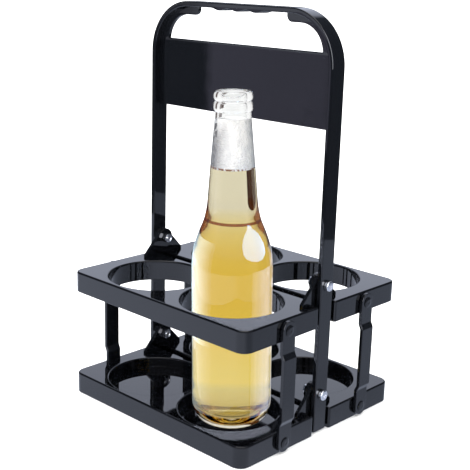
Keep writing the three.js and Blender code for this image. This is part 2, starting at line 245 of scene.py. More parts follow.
def shade(obj, sharpAngle=38, flatWeight=80):
    # smooth rounds beside flat faces that stay flat
    obj.data.shade_smooth()
    obj.data.set_sharp_from_angle(angle=radians(sharpAngle))
    weighted = obj.modifiers.new("flat faces stay flat", "WEIGHTED_NORMAL")
    weighted.keep_sharp = True
    weighted.weight = flatWeight
    return obj


bodyOf = {n: body for body, nodes in frame["record"]["behaviour"]["bodies"].items() for n in nodes}


def place(obj, node, finish, slot):
    # bring a piece to metres, and let it stand for its node and ride on the node's body
    obj.name = node + "_fine"
    obj.data.name = obj.name
    obj.data.transform(Matrix.Scale(mm, 4))
    obj.data.materials.clear()
    obj.data.materials.append(finish)
    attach(obj, bodyOf[node])
    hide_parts(node)
    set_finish(obj, slot)
    return obj


# Finishes

class Finish:
    # a material, with short ways to write its nodes
    def __init__(self, name):
        self.material = bpy.data.materials.new(name)
        self.material.use_nodes = True
        self.nodes, self.links = self.material.node_tree.nodes, self.material.node_tree.links
        self.shader = self.nodes["Principled BSDF"]
        self.surface = self.nodes["Material Output"].inputs["Surface"]
        # every pattern is drawn in the piece's own coordinates, so it moves with the piece
        self.spot = self.nodes.new("ShaderNodeTexCoord").outputs["Object"]
        self.x, self.y, self.z = self.add("ShaderNodeSeparateXYZ", dict(Vector=self.spot)).outputs

    def feed(self, node, inputs):
        # each input takes a plain value, or a link from another node
        for name, value in inputs.items():
            if isinstance(value, bpy.types.NodeSocket):
                self.links.new(value, node.inputs[name])
            else:
                node.inputs[name].default_value = value

    def add(self, kind, inputs, **settings):
        node = self.nodes.new(kind)
        for name, value in settings.items():
            setattr(node, name, value)
        self.feed(node, inputs)
        return node

    def calc(self, operation, *values):
        return self.add("ShaderNodeMath", dict(enumerate(values)), operation=operation).outputs[0]

    def noise(self, scale, detail, stretch=(1, 1, 1)):
        place = self.add("ShaderNodeMapping", dict(Vector=self.spot, Scale=stretch)).outputs["Vector"]
        return self.add("ShaderNodeTexNoise", dict(Vector=place, Scale=scale, Detail=detail)).outputs["Fac"]

    def spread(self, source, span, onto=(0, 1)):
        ends = {"From Min": span[0], "From Max": span[1], "To Min": onto[0], "To Max": onto[1]}
        return self.add("ShaderNodeMapRange", {"Value": source, **ends}).outputs["Result"]

    def step(self, source, low, high):
        inputs = {"Value": source, "From Min": low, "From Max": high}
        return self.add("ShaderNodeMapRange", inputs, interpolation_type="SMOOTHSTEP").outputs["Result"]

    def rest(self, share):
        return self.calc("SUBTRACT", 1.0, share)

    def window(self, source, low, high, soft):
        rise, fall = self.step(source, low - soft, low + soft), self.step(source, high - soft, high + soft)
        return self.calc("MULTIPLY", rise, self.rest(fall))

    def mix(self, share, first, second):
        # a colour between two, each a plain colour or another node's
        colours = [c if isinstance(c, bpy.types.NodeSocket) else (*c, 1) for c in (first, second)]
        inputs = dict(Factor=share, A=colours[0], B=colours[1])
        return self.add("ShaderNodeMix", inputs, data_type="RGBA").outputs["Result"]

    def azimuthOf(self, x, y):
        return self.calc("MULTIPLY", self.calc("ARCTAN2", y, x), degrees(1))

    def sphereAngles(self, radius):
        elevation = self.calc("ARCSINE", self.calc("DIVIDE", self.z, radius))
        return self.azimuthOf(self.x, self.y), self.calc("MULTIPLY", elevation, degrees(1))

    def boxShare(self, box, azimuth, elevation):
        across = self.window(azimuth, *box["azimuth"], box["soft"][0])
        upright = self.window(elevation, *box["elevation"], box["soft"][1])
        return self.calc("MULTIPLY", across, upright)

    def relief(self, source, height, strength=1.0):
        bump = self.add("ShaderNodeBump", dict(Height=source, Distance=height, Strength=strength))
        self.feed(self.shader, dict(Normal=bump.outputs["Normal"]))

    def glowing(self, colour, strength=1.0):
        # for the stage: an even glow in place of the shader
        glow = self.add("ShaderNodeEmission", dict(Color=colour, Strength=strength))
        self.nodes.remove(self.shader)
        self.links.new(glow.outputs["Emission"], self.surface)
        return self.material

    def hideFromMirrors(self):
        # the carrier's gloss looks past the bottle, but light that turns about inside it still meets it
        own, path = self.shader.outputs["BSDF"], self.nodes.new("ShaderNodeLightPath").outputs
        clear = self.nodes.new("ShaderNodeBsdfTransparent").outputs["BSDF"]
        firstTurn = 1.5  # between the whole numbers of the first turn and the second
        pastFirstTurn = self.calc("GREATER_THAN", path["Ray Depth"], firstTurn)
        inMirror = self.add("ShaderNodeMixShader", {0: pastFirstTurn, 1: clear, 2: own}).outputs["Shader"]
        whole = self.add("ShaderNodeMixShader", {0: path["Is Reflection Ray"], 1: own, 2: inMirror})
        self.links.new(whole.outputs["Shader"], self.surface)
        return self.material


plastic = dict(
    dark=(0.0011, 0.0013, 0.0018),
    light=(0.0021, 0.0023, 0.0030),
    flow=dict(scale=16, detail=4),  # slow flow haze from moulding
    rubs=dict(scale=420, detail=2, stretch=(1, 1, 0.15)),  # fine rub marks
    hazeRange=(0.15, 0.4),
    roughness=(0.012, 0.045),
    waves=dict(scale=34, detail=1),  # the faint sink and swell of moulded faces
    waveHeight=0.00006,
    ior=1.5,
)


def blackPlastic():
    p, m = plastic, Finish("black gloss plastic")
    flow, rubs = m.noise(**p["flow"]), m.noise(**p["rubs"])
    m.feed(m.shader, {
        "Base Color": m.mix(flow, p["dark"], p["light"]),
        "Roughness": m.spread(m.calc("MULTIPLY", flow, rubs), p["hazeRange"], p["roughness"]),
        "IOR": p["ior"],
    })
    m.relief(m.noise(**p["waves"]), p["waveHeight"])
    return m.material


steel = dict(
    colour=(0.80, 0.80, 0.82),
    tint=(0.62, 0.62, 0.65),
    brush=dict(scale=700, detail=3, stretch=(0.2, 1, 1)),
    brushRange=(0.3, 0.7),
    roughness=(0.14, 0.3),
    brushHeight=0.00002,
    brushStrength=0.5,
)


def brightSteel():
    s, m = steel, Finish("bright plated steel")
    brush = m.noise(**s["brush"])
    m.feed(m.shader, {
        "Base Color": m.mix(brush, s["tint"], s["colour"]),
        "Roughness": m.spread(brush, s["brushRange"], s["roughness"]),
        "Metallic": 1.0,
    })
    m.relief(brush, s["brushHeight"], s["brushStrength"])
    return m.material


glass = dict(
    colour=(0.985, 0.99, 0.985),
    footColour=(0.68, 0.62, 0.42),
    footTop=(0.011, 0.017),
    ior=1.5,
    swell=dict(scale=28, detail=1, stretch=(1, 1, 0.35)),
    swellHeight=0.00012,
)


def clearGlass():
    g, m = glass, Finish("clear bottle glass")
    m.feed(m.shader, {
        "Base Color": m.mix(m.spread(m.z, g["footTop"]), g["footColour"], g["colour"]),
        "Roughness": 0.0,
        "IOR": g["ior"],
        "Transmission Weight": 1.0,
    })
    m.relief(m.noise(**g["swell"]), g["swellHeight"])
    return m.hideFromMirrors()


beerFinish = dict(
    ior=1.34,
    # heights and tints: deep gold in the body, light in the shoulder, pale straw in the neck
    tints=((0.020, (0.55, 0.44, 0.17)), (0.028, (0.70, 0.59, 0.27)), (0.033, (0.97, 0.75, 0.185)),
           (0.075, (0.93, 0.67, 0.13)), (0.098, (0.86, 0.57, 0.070)), (0.138, (0.86, 0.57, 0.070)),
           (0.150, (0.84, 0.59, 0.13)), (0.163, (0.92, 0.73, 0.26)), (0.1685, (0.92, 0.76, 0.33)),
           (0.176, (0.87, 0.79, 0.56))),
    # painted refraction: a thin dark amber ring all round under the neck, standing in for the light that the
    # shoulder bends
    bend=dict(height=0.1705, reach=(0.00088, 0.00132), tint=(0.14, 0.022, 0.004)),
    ripple=dict(scale=60, detail=2),
    rippleHeight=0.00004,
)


def paleBeer():
    b, m = beerFinish, Finish("pale beer")
    top = b["tints"][-1][0]
    ramp = m.add("ShaderNodeValToRGB", dict(Fac=m.spread(m.z, (0, top))))
    stops = ramp.color_ramp.elements
    while len(stops) < len(b["tints"]):
        stops.new(0.5)  # anywhere, until its height is set below
    for stop, (height, tint) in zip(stops, b["tints"]):
        stop.position = height / top
        stop.color = (*tint, 1)

    # the bend, a painted refraction: a narrow band of heights, which tints what enters or leaves by its outer
    # face alone
    bend = b["bend"]
    offHeight = m.calc("ABSOLUTE", m.calc("SUBTRACT", m.z, bend["height"]))
    inside = m.nodes.new("ShaderNodeNewGeometry").outputs["Backfacing"]
    outer = m.calc("MAXIMUM", m.calc("SUBTRACT", m.spread(offHeight, bend["reach"], (1, 0)), inside), 0.0)
    m.feed(m.shader, {
        "Base Color": m.mix(outer, ramp.outputs["Color"], bend["tint"]),
        "Roughness": 0.0,
        "IOR": b["ior"],
        "Specular IOR Level": 0.0,  # beer against glass mirrors next to nothing
        "Transmission Weight": 1.0,
    })
    m.relief(m.noise(**b["ripple"]), b["rippleHeight"])
    return m.hideFromMirrors()


foamFinish = dict(
    dark=(0.78, 0.79, 0.80),
    light=(0.97, 0.97, 0.96),
    streaks=dict(scale=190, detail=6, stretch=(1, 1, 0.45)),
    streakRange=(0.38, 0.6),
    cellScale=820,
    cellHeight=0.0009,
    cellStrength=0.8,
    rimRange=(0.35, 0.75),
    rimShare=0.75,
    bubbleTop=(0.212, 0.236),  # fine bubbles are plainest below these heights
    # painted shade: the foam's colour is darkened on one side and low down, where less light falls
    shadedSide=(-112, -50),  # azimuths from the duller side to the bright one
    shadedBelow=(0.226, 0.250),
    shade=(0.27, 0.27, 0.28),
    shadeShare=0.9,
    roughness=0.55,
    ior=1.33,
    milkiness=0.3,
    milkyReach=(0.001, 0.001, 0.001),
    # wet dashes along the beer, and painted dark refraction: broken squiggles at one side, standing in for
    # dark things seen bent through the neck
    line=dict(pattern=dict(scale=520, detail=1, stretch=(1, 1, 0.5)), edge=(0.42, 0.50),
              top=(0.2104, 0.2116), dark=(0.22, 0.10, 0.05)),
    paintedDarkRefraction=dict(pattern=dict(scale=260, detail=3, stretch=(1, 1, 0.8)), edge=(0.49, 0.56),
              middle=(0.0405, -0.0495), azimuth=(-130, -106), soft=3, dark=(0.05, 0.05, 0.055)),
)


def beerFoam():
    f, m = foamFinish, Finish("beer foam")
    streaks = m.spread(m.noise(**f["streaks"]), f["streakRange"])
    colour = m.mix(streaks, f["dark"], f["light"])

    # dark rims between the bubbles, fading upwards
    cells = m.add("ShaderNodeTexVoronoi", dict(Vector=m.spot, Scale=f["cellScale"])).outputs["Distance"]
    low = m.rest(m.step(m.z, *f["bubbleTop"]))
    rims = m.calc("MULTIPLY", m.step(cells, *f["rimRange"]), low)
    colour = m.mix(m.calc("MULTIPLY", rims, f["rimShare"]), colour, f["dark"])

    # painted dark refraction: broken dark squiggles at one side
    paintedDarkRefraction = f["paintedDarkRefraction"]
    azimuth = m.azimuthOf(*(m.calc("SUBTRACT", own, at) for own, at in zip((m.x, m.y), paintedDarkRefraction["middle"])))
    squiggle = m.step(m.noise(**paintedDarkRefraction["pattern"]), *paintedDarkRefraction["edge"])
    side = m.window(azimuth, *paintedDarkRefraction["azimuth"], paintedDarkRefraction["soft"])
    colour = m.mix(m.calc("MULTIPLY", squiggle, side), colour, paintedDarkRefraction["dark"])

    # painted shade: darker low down on that side; and wet dashes along the beer
    bright = m.calc("MAXIMUM", m.step(azimuth, *f["shadedSide"]), m.step(m.z, *f["shadedBelow"]))
    colour = m.mix(m.calc("MULTIPLY", m.rest(bright), f["shadeShare"]), colour, f["shade"])
    wet = f["line"]
    dashes = m.step(m.noise(**wet["pattern"]), *wet["edge"])
    colour = m.mix(m.calc("MULTIPLY", dashes, m.rest(m.step(m.z, *wet["top"]))), colour, wet["dark"])
    m.feed(m.shader, {
        "Base Color": colour,
        "Roughness": f["roughness"],
        "IOR": f["ior"],
        "Subsurface Weight": f["milkiness"],
        "Subsurface Radius": f["milkyReach"],
    })
    m.relief(cells, f["cellHeight"], f["cellStrength"])
    return m.hideFromMirrors()


blackGloss = blackPlastic()
platedSteel = brightSteel()
print("finishes ready")


# Handle: two legs and a rounded top in one band, a thin web with the blank panel and gussets

handle = dict(
    width=handleHigh.x - handleLow.x,
    height=handleHigh.z,
    foot=handleLow.z,
    cornerRadius=42,
    edge=0.9,
    bandThickness=4.2,
    bandDepth=handleHigh.y - handleLow.y,
    footRound=0.8,
    webThickness=3.2,
    webEdge=0.5,
    panelBottom=239,
    panelTop=294.6,
    lipHeight=314.5,
    lipReach=46.5,
    lipRadius=5,
    openingHalfWidth=82,
    openingCornerRadius=22,
    fingerWaves=3,
    fingerPitch=19,
    fingerDepth=1.8,
    arcSteps=28,
    waveSteps=20,
    footSteps=4,
    lipSteps=8,
    openingSteps=20,
    bandEdgeSteps=5,
    webEdgeSteps=3,
)


def bandOutline():
    h = handle
    side, top, radius, thick = h["width"] / 2, h["height"], h["cornerRadius"], h["bandThickness"]
    cx, cz = side - radius, top - radius
    soft, footSteps, steps = h["footRound"], h["footSteps"], h["arcSteps"]
    outer = arc(side - soft, h["foot"] + soft, soft, -90, 0, footSteps) + arc(cx, cz, radius, 0, 90, steps)
    inner = arc(cx, cz, radius - thick, 90, 0, steps)
    inner += arc(side - thick + soft, h["foot"] + soft, soft, 180, 270, footSteps)
    reach = h["fingerWaves"] * h["fingerPitch"] / 2
    waves = []
    for step in range(h["fingerWaves"] * h["waveSteps"] + 1):
        wave = step / h["waveSteps"]
        drop = h["fingerDepth"] * (1 - cos(2 * pi * wave)) / 2
        waves.append((-reach + wave * h["fingerPitch"], top - thick - drop))
    return outer + mirrorOf(outer) + mirrorOf(inner) + waves + inner


def webOutline():
    h = handle
    sunk = h["bandThickness"] / 2
    side, top, radius = h["width"] / 2, h["height"], h["cornerRadius"]
    turn, turnZ = h["openingCornerRadius"], h["lipHeight"] - h["openingCornerRadius"]
    low = degrees(asin((h["panelTop"] - turnZ) / turn))
    reach, lip = h["lipReach"], h["lipRadius"]
    right = [(side - sunk, h["panelBottom"])]
    right += arc(side - radius, top - radius, radius - sunk, 0, 90, h["arcSteps"])
    right += [(reach, top - sunk)] + arc(reach + lip, h["lipHeight"] + lip, lip, 180, 270, h["lipSteps"])
    right += arc(h["openingHalfWidth"] - turn, turnZ, turn, 90, low, h["openingSteps"])
    return right + mirrorOf(right)


def makeHandle():
    h = handle
    half, web = h["bandDepth"] / 2, h["webThickness"] / 2
    band = prism([bandOutline()], -half, half, "y", h["edge"], h["edge"], h["bandEdgeSteps"])
    plate = prism([webOutline()], -web, web, "y", h["webEdge"], h["webEdge"], h["webEdgeSteps"])
    join(band, plate)
    for level in levels.values():
        reach = h["width"]
        bore = prism([circle(0, level + pivotLift, boltHoleRadius, boltHoleSteps)], -reach, reach, "x")
        cut(band, bore)
    return shade(band)


place(makeHandle(), "handle_frame", blackGloss, "black_plastic")
print("handle done")


# Half trays: two bottle places, walls with a notch for the leg, two upright ears, two link pegs

tray = dict(
    halfWidth=98,
    front=trayLow.y,
    back=-3.2,
    height=17.2,
    skin=2.4,
    edge=1.5,
    edgeSteps=6,
    footEdge=0.4,
    footEdgeSteps=4,
    cornerRadius=9,
    cornerSteps=16,
    wallEndRadius=2,
    wallEndSteps=6,
    notchDepth=10,
    holeRadius=40,
    holeSteps=128,
    cupFloor=8.6,
    cupFillet=0.15,
    floorThickness=2.2,
    narrowRimReach=14,
    roofEdge=0.6,
    earOuterFace=91.9,
    earInnerFace=85.1,
    earThickness=3.2,
    earRadius=8,
    earFoot=22.5,
    earFootHeight=2.2,
    earRoot=(1.4, 1.5),  # how far the ear's foot reaches into the tray, along and down
    earEdge=0.35,
    pegRadius=2.8,
    pegHeadRadius=4.2,
    pegHeadHeight=0.8,
    pegHeight=8.6,
    pegHeadSeat=101.7,
    pegRoot=96.8,
    pegHeadCorner=(0.1, 0.12),
    pegDome=((0.88, 0.42), (0.62, 0.68)),  # shares of the head's radius, heights above its seat
    pegDomeTop=1.2,
    gateMark=(0.9, 0.2),
)


def trayOutline(inset):
    t = tray
    side, notch = t["halfWidth"] - inset, t["earOuterFace"] - inset
    front, back = t["front"] + inset, t["back"] - inset
    wallEnd, end, corner = -t["notchDepth"] - inset, t["wallEndRadius"], t["cornerRadius"] - inset
    right = arc(side - corner, front + corner, corner, 270, 360, t["cornerSteps"])
    right += arc(side - end, wallEnd - end, end, 0, 90, t["wallEndSteps"])
    right += [(notch, wallEnd), (notch, back)]
    return mirrorOf(right) + right


def bottlePlace(x, hasFloor):
    t = tray
    radius, top, edge, foot, past = t["holeRadius"], t["height"], t["edge"], t["footEdge"], 5
    footTurn, edgeTurn = quarter(t["footEdgeSteps"], foot), quarter(t["edgeSteps"], edge)
    if hasFloor:
        floor, fillet = t["cupFloor"], t["cupFillet"]
        profile = [(0, floor)] + heel(radius, floor, fillet, fillet, steps=5)
    else:
        profile = [(0, -past), (radius + foot, -past)]
        profile += [(radius + foot * (1 - sin(a)), foot * (1 - cos(a))) for a in footTurn]
    profile += [(radius + edge * (1 - cos(a)), top - edge * (1 - sin(a))) for a in edgeTurn]
    profile += [(radius + edge, top + past), (0, top + past)]
    return turned(profile, x, placeY, segments=t["holeSteps"])


def heel(radius, floor, corner, rise, steps=12):
    # the rounded turn from a floor up into a wall
    return [(radius - corner + corner * sin(a), floor + rise * (1 - cos(a))) for a in quarter(steps, corner)]


def trayPocket(hasFloor):
    # the hollow underneath, between the walls and the collars
    t = tray
    roof, past = t["height"] - t["skin"], 2
    foot = t["cupFloor"] - t["floorThickness"] if hasFloor else -2 * past
    radius = t["holeRadius"] + t["skin"]
    hollow = prism([trayOutline(t["skin"])], -past, roof, highEdge=t["roofEdge"], steps=3)
    for x in (-placeX, placeX):
        left, right, front = x - t["narrowRimReach"], x + t["narrowRimReach"], t["front"]
        rim = prism([[(left, front), (right, front), (right, 0), (left, 0)]], foot, roof + past)
        collar = prism([circle(x, placeY, radius, steps=96)], foot, roof + past)
        cut(hollow, rim, collar)
    return hollow


def earOutline():
    t = tray
    top, pivot, back = t["height"], pivotLift, t["back"]
    reach, root, shoulder = t["earRoot"][0], top - t["earRoot"][1], top + t["earFootHeight"]

    def touch(y, z, side):
        return atan2(z, y) + side * acos(t["earRadius"] / hypot(y, z))

    outer = touch(-t["earFoot"], shoulder - pivot, -1)
    inner = touch(back, top - pivot, 1)
    points = [(back - reach, root), (back, top)]
    points += arc(0, pivot, t["earRadius"], degrees(inner), degrees(outer) + 360, steps=30)
    points += [(-t["earFoot"], shoulder), (-t["earFoot"], root)]
    return points


def peg(side):
    t = tray
    root, seat, radius, head = (t[k] for k in ("pegRoot", "pegHeadSeat", "pegRadius", "pegHeadRadius"))
    top, (corner, rise), (markRadius, markDepth) = seat + t["pegHeadHeight"], t["pegHeadCorner"], t["gateMark"]
    dome = [(head * share, seat + height) for share, height in t["pegDome"]]
    profile = [(0, root), (radius, root), (radius, seat), (head - corner, seat)]
    profile += smoothLine([(head, seat + rise), *dome, (t["pegDomeTop"], top)], stepsEach=5)
    profile += [(markRadius, top - markDepth), (0, top - markDepth)]
    made = turned(profile, 0, placeY, t["pegHeight"], segments=48, axis="x")
    return mirrored(made) if side < 0 else made


def makeHalfTray(hasFloor):
    t = tray
    shell = prism([trayOutline(0)], 0, t["height"], "z", t["footEdge"], t["edge"], t["edgeSteps"])
    cut(shell, trayPocket(hasFloor))
    cut(shell, bottlePlace(-placeX, hasFloor), bottlePlace(placeX, hasFloor))
    thick, edge = t["earThickness"], t["earEdge"]
    ears = [prism([earOutline()], start, start + thick, "x", edge, edge)
            for start in (-t["earInnerFace"] - thick, t["earOuterFace"] - thick)]
    join(shell, *ears, peg(-1), peg(1))
    bore = prism([circle(0, pivotLift, boltHoleRadius, boltHoleSteps)], -t["halfWidth"], t["halfWidth"], "x")
    return shade(cut(shell, bore))


for level, lift in levels.items():
    front = makeHalfTray(level == "bottom")
    front.data.transform(Matrix.Translation((0, 0, lift)))
    back = shade(turnHalf(copyOf(front)))
    place(front, "tray_" + level + "_front", blackGloss, "black_plastic")
    place(back, "tray_" + level + "_back", blackGloss, "black_plastic")
    print(level, "half trays done")


# Links: straps that stand out over the gap between the trays

link = dict(
    innerFace=98.4,
    thickness=3,
    width=13.8,
    overPin=7.4,
    joggle=2,
    joggleHeight=4.8,
    lowerJoggle=28.2,
    upperJoggle=81,
    edge=0.45,
    bore=3.1,
    boreSteps=40,
    endSteps=24,
    joggleSteps=12,
    sharpAngle=50,
)


def standOut(z):
    # how far the strap stands out at a height, with softened bends
    k = link

    def risen(end):
        t = min(max((z - (end - k["joggleHeight"])) / k["joggleHeight"], 0), 1)
        return (t + t * t * (3 - 2 * t)) / 2

    return k["joggle"] * (risen(k["lowerJoggle"]) - risen(k["upperJoggle"]))


def makeLink():
    k = link
    radius = k["width"] / 2
    low, high = tray["pegHeight"], trayPitch + tray["pegHeight"]
    bottom, top = low - k["overPin"] + radius, high + k["overPin"] - radius
    outline = arc(0, top, radius, 0, 180, k["endSteps"]) + arc(0, bottom, radius, 180, 360, k["endSteps"])
    holes = [circle(0, z, k["bore"], k["boreSteps"], clockwise=True) for z in (low, high)]
    face, edge = k["innerFace"], k["edge"]
    strap = prism([outline, *holes], face, face + k["thickness"], "x", edge, edge)
    bm = bmesh.new()
    bm.from_mesh(strap.data)
    for end in (k["lowerJoggle"], k["upperJoggle"]):
        for step in range(k["joggleSteps"] + 1):
            height = end - k["joggleHeight"] * step / k["joggleSteps"]
            bmesh.ops.bisect_plane(bm, geom=bm.verts[:] + bm.edges[:] + bm.faces[:],
                                   plane_co=(0, 0, height), plane_no=(0, 0, 1))
    for v in bm.verts:
        v.co.x += standOut(v.co.z)
        v.co.y += placeY
    bm.to_mesh(strap.data)
    bm.free()
    return shade(strap, k["sharpAngle"])


for row in ("front", "back"):
    for side in ("left", "right"):
        strap = makeLink()
        if row == "back":
            turnHalf(strap)
        if (side == "right") != (row == "front"):
            mirrored(strap)
        place(strap, "link_" + row + "_" + side, blackGloss, "black_plastic")
print("links done")


# Bolts with a cross recess, and their nuts

bolt = dict(
    headRadius=4.2,
    headHeight=3.4,
    headSeat=96.9,
    rim=2.0,
    recessReach=2.15,
    recessWidth=0.95,
    recessDepth=1.8,
    recessRound=0.2,
    recessTaper=0.45,
    headCorner=0.2,
    crown=((0.96, 0.7), (0.84, 0.25), (0.55, 0.06)),  # shares of the head's radius, depths below its top
    shankRadius=2,
    end=80.8,
    endChamfer=0.5,
    firstThread=0.35,
    threadPitch=0.7,
    threadDepth=0.28,
    threadedLength=7,
)
nut = dict(acrossFlats=7, height=4.2, seat=84.8, chamfer=0.45, margin=0.1, boreRadius=2.3, boreChamfer=0.5)


def makeBolt(height):
    b = bolt
    end, seat, head, corner = b["end"], b["headSeat"], b["headRadius"], b["headCorner"]
    shank = b["shankRadius"]
    profile = [(0, end), (shank - b["endChamfer"], end)]
    threads = int(b["threadedLength"] / b["threadPitch"])
    for i in range(threads):
        start = end + b["firstThread"] + i * b["threadPitch"]
        profile += [(shank - b["threadDepth"], start), (shank, start + b["threadPitch"] / 2)]
    profile += [(shank, seat - corner), (shank + corner, seat), (head - corner, seat)]
    profile += arc(head - corner, seat + corner, corner, -90, 0, steps=3)[1:]
    top = seat + b["headHeight"]
    crown = [(head * share, top - depth) for share, depth in b["crown"]]
    nearAxis = 0.02
    profile += smoothLine([(head, seat + b["rim"]), *crown, (nearAxis, top)], stepsEach=5)[:-1] + [(0, top)]
    made = turned(profile, 0, 0, height, segments=64, axis="x")
    long, thin = b["recessReach"], b["recessWidth"] / 2
    plus = []
    for quarterTurn in range(4):
        a = quarterTurn * pi / 2
        for u, v in ((long, -thin), (long, thin), (thin + b["recessRound"], thin + b["recessRound"])):
            plus.append((u * cos(a) - v * sin(a), u * sin(a) + v * cos(a)))
    floor, past, taper = top - b["recessDepth"], 0.6, b["recessTaper"]
    cross = prism([[(u, v + height) for u, v in plus]], floor, top + past, "x")
    for v in cross.data.vertices:
        if v.co.x < top:
            v.co.y *= taper
            v.co.z = height + (v.co.z - height) * taper
    return shade(cut(made, cross), sharpAngle=30)


def makeNut(height):
    n = nut
    low, high = n["seat"] - n["height"], n["seat"]
    radius, margin = n["acrossFlats"] / sqrt(3), n["margin"]
    hexagon = [(radius * cos(i * pi / 3), height + radius * sin(i * pi / 3)) for i in range(6)]
    made = prism([hexagon], low, high, "x")
    flat, outer, slope = n["acrossFlats"] / 2 - margin, radius + margin, n["chamfer"] + margin
    barrel = [(0, low), (flat, low), (outer, low + slope), (outer, high - slope), (flat, high), (0, high)]
    boolean(made, [turned(barrel, 0, 0, height, segments=64, axis="x")], "INTERSECT")
    bore, wide, past = n["boreRadius"], n["boreRadius"] + n["boreChamfer"], 1
    mouth = [(0, low - past), (wide, low - past), (wide, low), (bore, low + n["boreChamfer"]),
             (bore, high + past), (0, high + past)]
    return shade(cut(made, turned(mouth, 0, 0, height, segments=40, axis="x")), sharpAngle=25)


for side in ("left", "right"):
    for level, lift in levels.items():
        fittings = dict(bolt=makeBolt(lift + pivotLift), nut=makeNut(lift + pivotLift))
        for kind, piece in fittings.items():
            if side == "left":
                turnHalf(piece)
            place(piece, kind + "_" + level + "_" + side, platedSteel, "bright_steel")
print("bolts and nuts done")


# Bottle, beer and foam

bottle = dict(
    bodyRadius=30.8,
    base=8.9,
    top=266,
    foot=(44.1, -46),  # it leans a little on its round heel
    lean=1.24,
    leanTowards=223.3,
    wall=2.7,
    floor=10,
    heelRadius=12,
    heelRise=16,
    innerHeelRadius=12,
    innerHeelRise=14,
    puntHeight=1.4,
    punt=((0.4, 0.9), (0.75, 0.55)),  # shares of the foot's radius and of the punt's height
    bearing=(2.2, 0.3),  # the ring the bottle stands on: its width and rise
    lipRadius=0.9,
    insideTop=0.6,  # how far under the top the inside's lip begins
    shoulderStart=134,
    wallSteps=8,
    shoulderSteps=6,
    shoulder=((30.8, 136), (29.4, 148), (25.6, 160), (21.6, 170), (19.4, 180), (18.2, 193), (16.8, 210)),
    finish=((13.2, 250.8), (14.2, 252.2), (14.4, 255), (14.1, 257.6), (13.2, 258.8),
            (14.1, 260.2), (14.3, 262.8), (13.4, 265.2), (12, 266)),
    mouth=((10.6, 248), (10, 256)),
    segments=144,
    sinkIntoGlass=0.22,
)
# the beer's face dips and the foam's swells towards the middle, in rings at these shares of the radius
beer = dict(top=209.4, rings=(0.9, 0.6, 0.3), dip=0.02, middleDip=0.05)
foam = dict(top=246, rowsUp=40, rings=(0.85, 0.6, 0.3), swell=0.4, aboveBeer=0.05)


def bottleOutside():
    b = bottle
    line = heel(b["bodyRadius"], b["base"], b["heelRadius"], b["heelRise"])
    line += straightWall(b["bodyRadius"])
    line += smoothLine(b["shoulder"], b["shoulderSteps"])
    return line + smoothLine(b["finish"], stepsEach=4)


def straightWall(radius):
    # the first steps up are left out, because they lie in the heel
    steps, inHeel = bottle["wallSteps"], 2
    return [(radius, bottle["shoulderStart"] * i / steps) for i in range(inHeel, steps + 1)]


def bottleInside(gap=0.0):
    b = bottle
    wall = b["wall"] + gap
    line = heel(b["bodyRadius"] - wall, b["base"] + b["floor"] + gap, b["innerHeelRadius"], b["innerHeelRise"])
    line += straightWall(b["bodyRadius"] - wall)
    line += [(r - wall, z) for r, z in smoothLine(b["shoulder"], b["shoulderSteps"])]
    line += [(r - gap, z) for r, z in b["mouth"]]
    past = 2
    return line + [(b["mouth"][-1][0] - gap, b["top"] + past)]


def radiusAt(line, height):
    # on a line that rises
    for (r0, z0), (r1, z1) in zip(line, line[1:]):
        if z0 <= height <= z1 and z1 > z0:
            return r0 + (r1 - r0) * (height - z0) / (z1 - z0)
    return line[-1][0]


def between(line, low, high):
    # the stretch of a rising line between two heights, with its ends worked out
    apart = 0.05
    kept = [(r, z) for r, z in line if low + apart < z < high - apart]
    return [(radiusAt(line, low), low), *kept, (radiusAt(line, high), high)]


def makeBottle():
    b = bottle
    outside = bottleOutside()
    footRadius, foot = outside[0]
    punt = [(0, foot + b["puntHeight"])]
    punt += [(share * footRadius, foot + rise * b["puntHeight"]) for share, rise in b["punt"]]
    punt += [(footRadius - b["bearing"][0], foot + b["bearing"][1])]
    inside = between(bottleInside(), b["base"] + b["floor"], b["top"] - b["insideTop"])
    bend = b["lipRadius"]
    lip = arc(inside[-1][0] + bend, b["top"] - bend, bend, 90, 180, steps=5)
    profile = punt + outside + lip[:-1] + inside[::-1] + [(0, inside[0][1])]
    return stood(turned(profile, segments=b["segments"]))


def stood(piece):
    # stand a bottle piece on its foot, and lean it
    b = bottle
    x, y = b["foot"]
    lean, heading = radians(b["lean"]), radians(b["leanTowards"])
    lift = (b["bodyRadius"] - b["heelRadius"]) * sin(lean)
    tilt = Matrix.Rotation(lean, 4, Vector((-sin(heading), cos(heading), 0)))
    stand = Matrix.Translation((x, y, b["base"] + lift)) @ tilt @ Matrix.Translation((0, 0, -b["base"]))
    piece.data.transform(stand)
    return piece


def filling(low, high):
    return between(bottleInside(-bottle["sinkIntoGlass"]), low, high)


def makeBeer():
    b = bottle
    floor, top = b["base"] + b["floor"] - b["sinkIntoGlass"], beer["top"]
    side = filling(floor, top)
    profile = [(0, floor)] + side + [(side[-1][0] * k, top - beer["dip"] * (1 - k)) for k in beer["rings"]]
    return stood(turned(profile + [(0, top - beer["middleDip"])], segments=b["segments"]))


def makeFoam():
    f = foam
    low, high = beer["top"] + f["aboveBeer"], f["top"]
    side = filling(low, high)
    heights = [low + (high - low) * i / f["rowsUp"] for i in range(f["rowsUp"] + 1)]
    rows = [(radiusAt(side, z), z) for z in heights]
    profile = [(0, low)] + rows + [(rows[-1][0] * k, high + f["swell"] * (1 - k * k)) for k in f["rings"]]
    return stood(turned(profile + [(0, high + f["swell"])], segments=bottle["segments"]))


bottlePieces = []
for maker, node, finish, slot in (
    (makeBottle, "bottle_glass", clearGlass(), "clear_glass"),
    (makeBeer, "beer", paleBeer(), "pale_beer"),
    (makeFoam, "beer_foam", beerFoam(), "beer_foam"),
):
    piece = shade(maker(), sharpAngle=60)
    bottlePieces.append(place(piece, node, finish, slot))
print("bottle and beer done")


# Studio: a white floor, and the soft boxes and dark flags that the gloss mirrors

